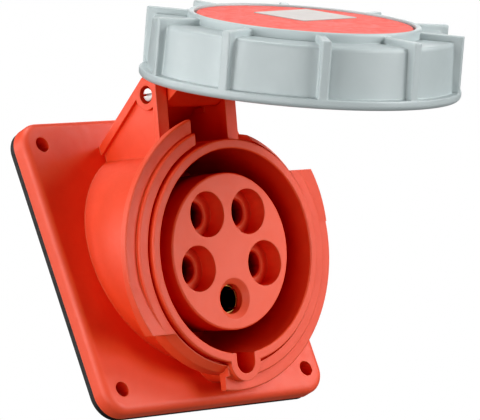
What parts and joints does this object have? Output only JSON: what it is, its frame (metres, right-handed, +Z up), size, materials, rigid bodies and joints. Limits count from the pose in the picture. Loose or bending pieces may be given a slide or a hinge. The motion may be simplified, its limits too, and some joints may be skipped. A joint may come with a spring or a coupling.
{
  "type": "industrial panel socket",
  "caption": "Red angled panel socket with a round keyed recess for five pins, a square flange on a gasket, and a hinged lid with a grey ribbed bayonet ring.",
  "frame": {"origin": "centre of the four fixing holes, on the mounting face (the gasket's back)", "axes": "+Z up towards the hinge, +X to the right seen from the front, +Y into the panel, so the front faces -Y"},
  "size_m": [0.0994, 0.1651, 0.1186],
  "materials": {
    "red_moulding": "satin",
    "red_insert": "satin",
    "red_disc": "satin",
    "grey_moulding": "satin",
    "dark_rubber": "matte",
    "dark_moulding": "satin",
    "contact_brass": "machined",
    "bright_steel": "polished",
    "plated_steel": "zinc plated",
    "pale_label": "satin",
    "pale_washer": "satin"
  },
  "bodies": {
    "socket": {"housing": "red_moulding", "flange_gasket": "dark_rubber", "contact_carrier": "red_insert", "carrier_base": "red_insert", "carrier_seal": "dark_rubber", "terminal_block": "dark_moulding", "contact_l1": "contact_brass", "contact_l2": "contact_brass", "contact_l3": "contact_brass", "contact_n": "contact_brass", "contact_earth": "contact_brass", "contact_clips": "bright_steel", "terminal_screws": "plated_steel", "carrier_screws": "plated_steel", "hinge_pin": "bright_steel"},
    "lid": {"lid": "red_moulding", "lid_seal": "dark_rubber", "lid_cap": "red_disc", "label_plate": "pale_label", "slide_washer": "pale_washer"},
    "ring": {"locking_ring": "grey_moulding"}
  },
  "joints": [
    {"name": "lid_hinge", "type": "hinge", "parent": "socket", "child": "lid", "pos_m": [0, -0.03551, 0.04506], "axis": [1, 0, 0], "range_deg": [-20, 76.8]},
    {"name": "ring_turn", "type": "hinge", "parent": "lid", "child": "ring", "pos_m": [0, -0.08813, 0.03214], "axis": [0, -0.5476, 0.8368], "range_deg": [-60, 0]}
  ]
}
